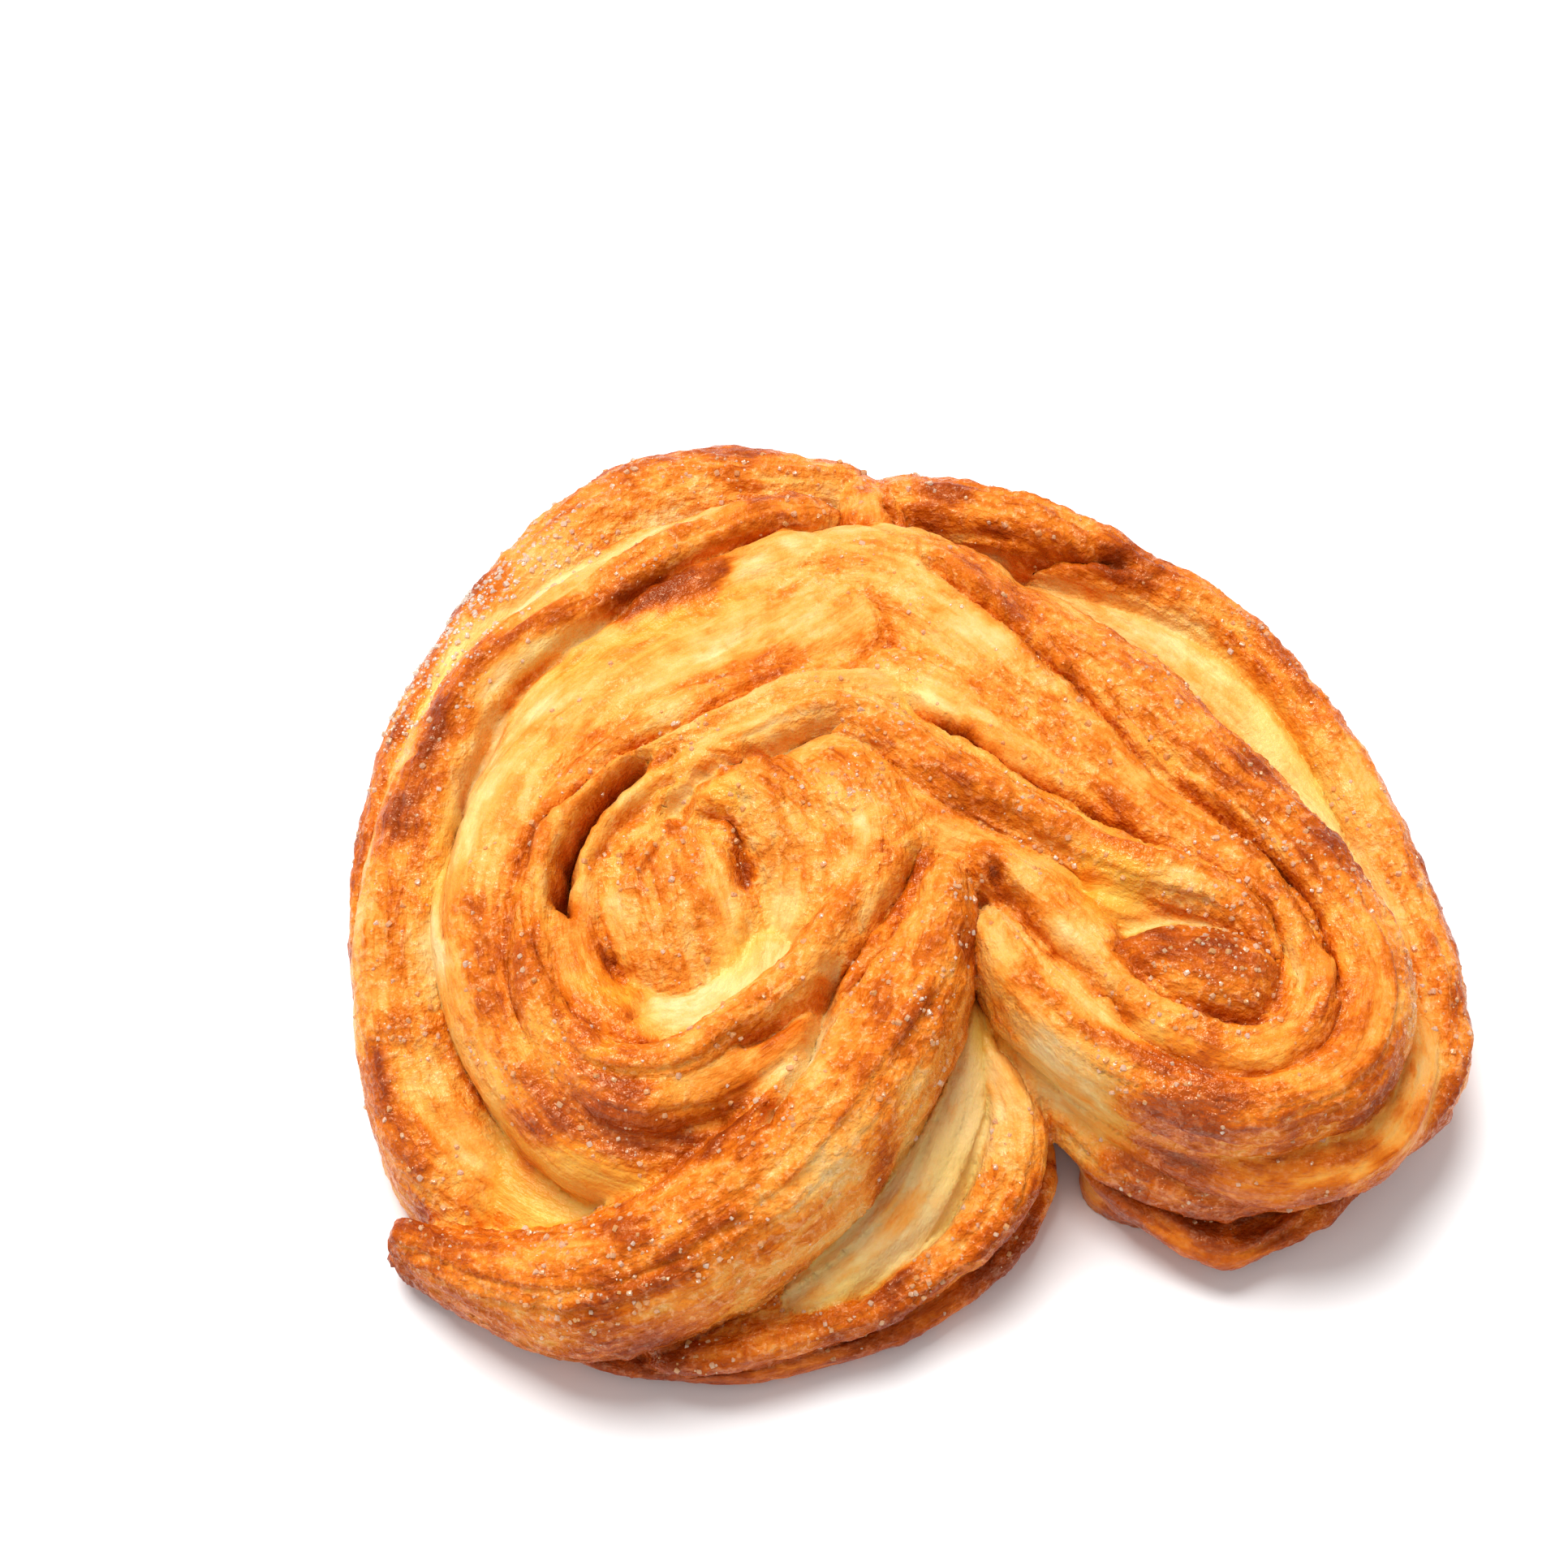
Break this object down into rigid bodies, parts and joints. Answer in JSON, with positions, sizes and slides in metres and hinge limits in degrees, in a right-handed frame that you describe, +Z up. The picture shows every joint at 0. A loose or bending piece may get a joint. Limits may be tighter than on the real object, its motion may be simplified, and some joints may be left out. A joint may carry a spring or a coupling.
{
  "type": "sweet bun",
  "caption": "Heart-shaped sugared sweet bun of rolled dough, opened so that its folds lie side by side, with a tail across the front.",
  "frame": {"origin": "on the flat underside near the middle of the plan, at mount base", "axes": "+X to the right across both lobes, +Y away from the notch to the pinched back, +Z up"},
  "size_m": [0.1445, 0.1287, 0.037],
  "materials": {
    "crust": "baked crust: golden brown ridges, pale yellow hollows, slightly glossy, with sugar crystals"
  },
  "bodies": {
    "root": {"bun": "crust"}
  },
  "joints": []
}
